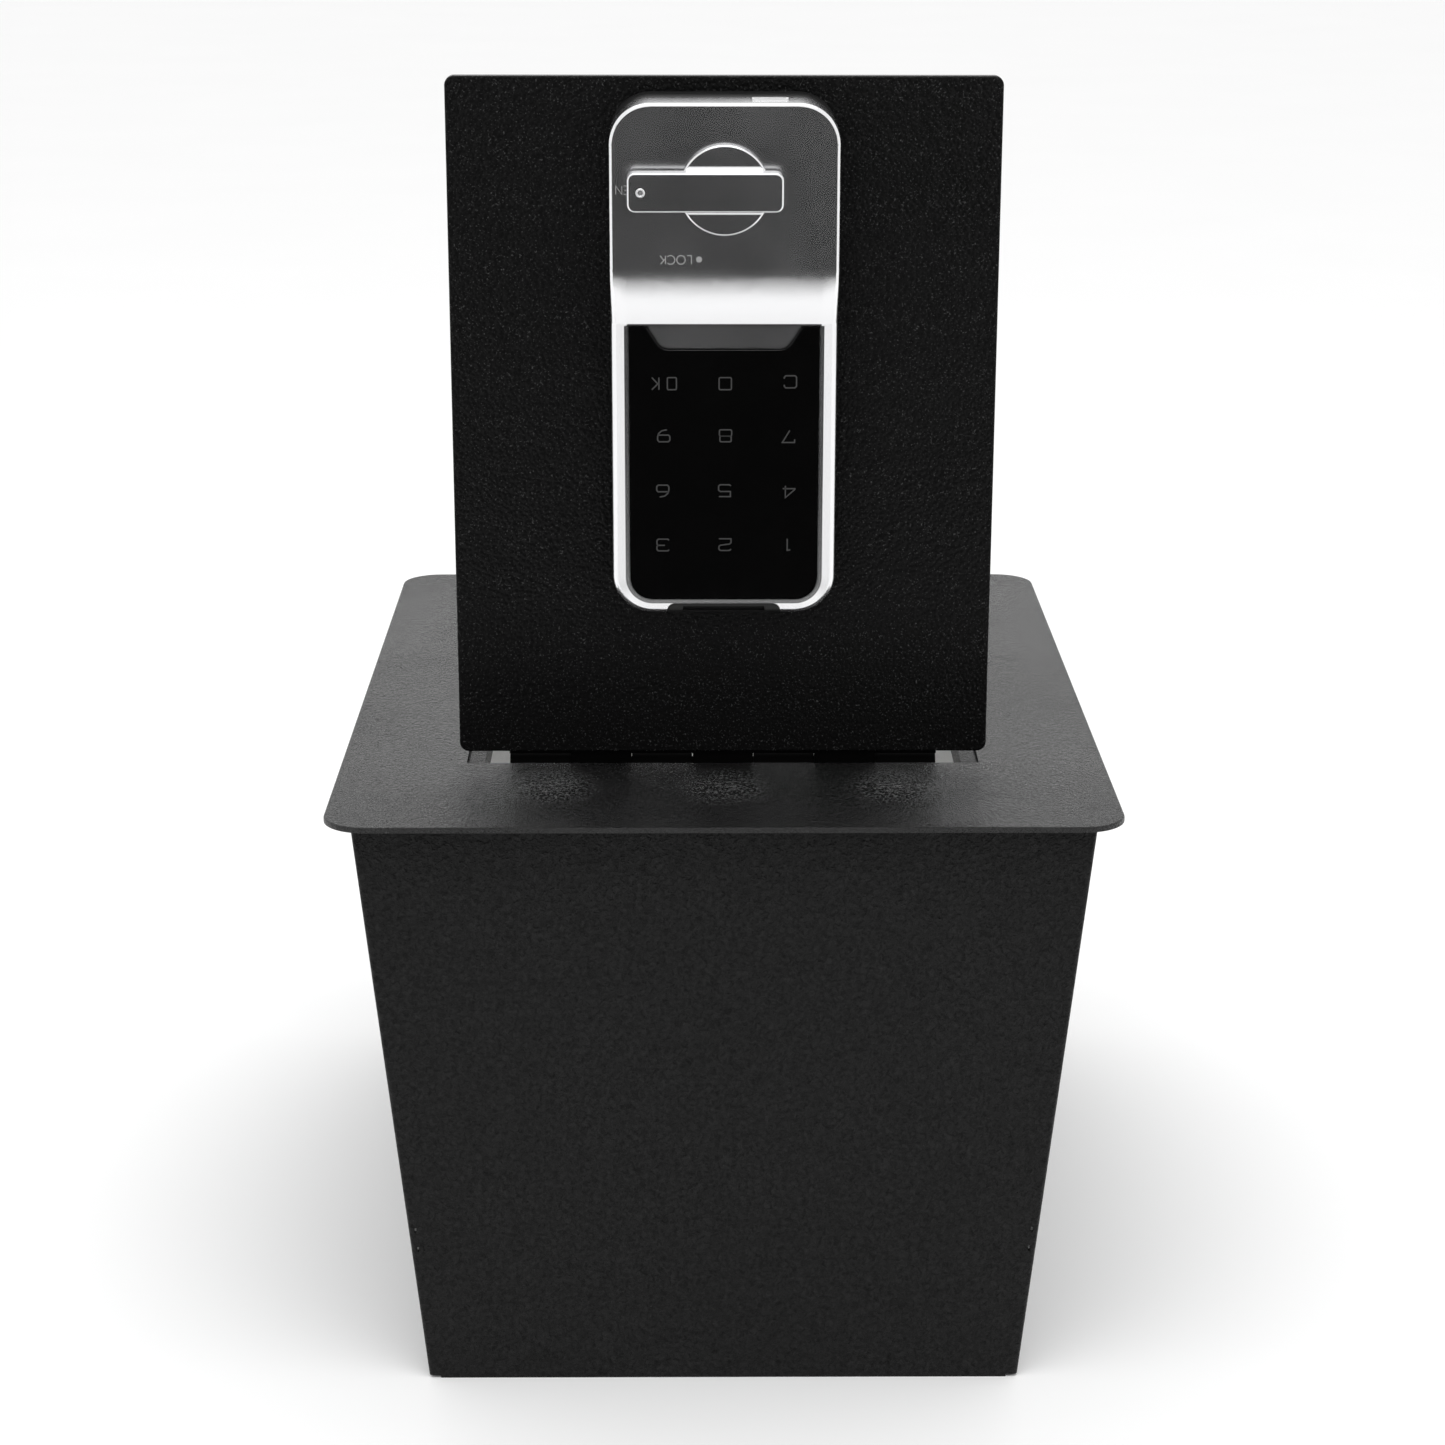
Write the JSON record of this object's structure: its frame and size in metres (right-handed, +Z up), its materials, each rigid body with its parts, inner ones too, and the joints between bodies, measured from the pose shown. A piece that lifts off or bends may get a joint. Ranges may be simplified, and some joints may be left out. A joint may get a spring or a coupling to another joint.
{
  "type": "drop-in lid safe",
  "caption": "Steel drop-in safe: a tapered tub under a flanged top plate, with a rear-hinged lid carrying a touch keypad lock and a turning knob, shown open.",
  "frame": {"origin": "centre of the underside of the tub's floor", "axes": "+Z up; +Y towards the user's side, where the lid lifts; +X along the hinge, to the right when looking along +Y; the hinge is on the -Y side and the lid is stored standing open"},
  "size_m": [0.212, 0.278, 0.3513],
  "materials": {
    "black_powder_coat": "textured black powder coat on steel sheet, semi-matt with a fine orange-peel grain",
    "black_lid_coat": "textured black powder coat on steel plate, finer grain with sparse bright specks",
    "black_hinge": "black coated steel, satin",
    "pale_lining": "pale short-pile felt",
    "black_rubber": "matt black rubber",
    "satin_chrome": "satin silver plating on a die casting",
    "marker_chrome": "bright plating",
    "zinc_steel": "zinc plated steel",
    "brass_part": "machined brass",
    "black_glass": "glossy black touch panel with grey legends",
    "circuit_board": "green solder mask",
    "black_plastic": "moulded black plastic, fine spark texture",
    "battery_jacket": "plain plastic sleeve"
  },
  "bodies": {
    "tub": {"top_plate": "black_powder_coat", "rear_wall": "black_powder_coat", "front_wall": "black_powder_coat", "left_wall": "black_powder_coat", "right_wall": "black_powder_coat", "floor_plate": "black_powder_coat", "flange_weld": "black_powder_coat", "rim_left": "black_powder_coat", "rim_right": "black_powder_coat", "rim_front": "black_powder_coat", "lining_floor": "pale_lining", "lining_left": "pale_lining", "lining_right": "pale_lining", "lining_rear": "pale_lining", "lining_front": "pale_lining", "hinge_leaf_fixed": "black_hinge", "hinge_pin": "black_hinge"},
    "lid": {"lid_plate": "black_lid_coat", "lid_pan": "black_lid_coat", "lid_bumpers": "black_rubber", "hinge_leaf_moving": "black_hinge", "lock_gasket": "black_rubber", "lock_housing": "satin_chrome", "lock_skirt": "black_plastic", "lock_screws": "zinc_steel", "power_port": "zinc_steel", "keypad_glass": "black_glass", "keypad_board": "circuit_board", "battery_holder": "black_plastic", "battery_cells": "battery_jacket", "battery_contacts": "zinc_steel", "lock_motor": "zinc_steel", "motor_bracket": "black_plastic", "spindle_bushing": "brass_part"},
    "knob": {"knob": "satin_chrome", "knob_marker": "marker_chrome", "spindle": "zinc_steel", "locking_ring": "zinc_steel", "latch_cam": "zinc_steel", "cam_washer": "zinc_steel", "cam_nut": "zinc_steel"},
    "battery_cover": {"battery_cover": "black_plastic"},
    "blocking_pin": {"blocking_pin": "brass_part"}
  },
  "joints": [
    {"name": "lid_hinge", "type": "hinge", "parent": "tub", "child": "lid", "pos_m": [0, -0.073, 0.1605], "axis": [1, 0, 0], "range_deg": [-92, 0]},
    {"name": "knob_turn", "type": "hinge", "parent": "lid", "child": "knob", "pos_m": [0, -0.09473, 0.32424], "axis": [0, -0.9994, -0.0349], "range_deg": [0, 90]},
    {"name": "battery_cover_slide", "type": "slide", "parent": "lid", "child": "battery_cover", "axis": [0, 0.0349, -0.9994], "range_m": [0, 0.012]},
    {"name": "blocking_pin_slide", "type": "slide", "parent": "lid", "child": "blocking_pin", "axis": [0, -0.0349, 0.9994], "range_m": [0, 0.003]}
  ]
}
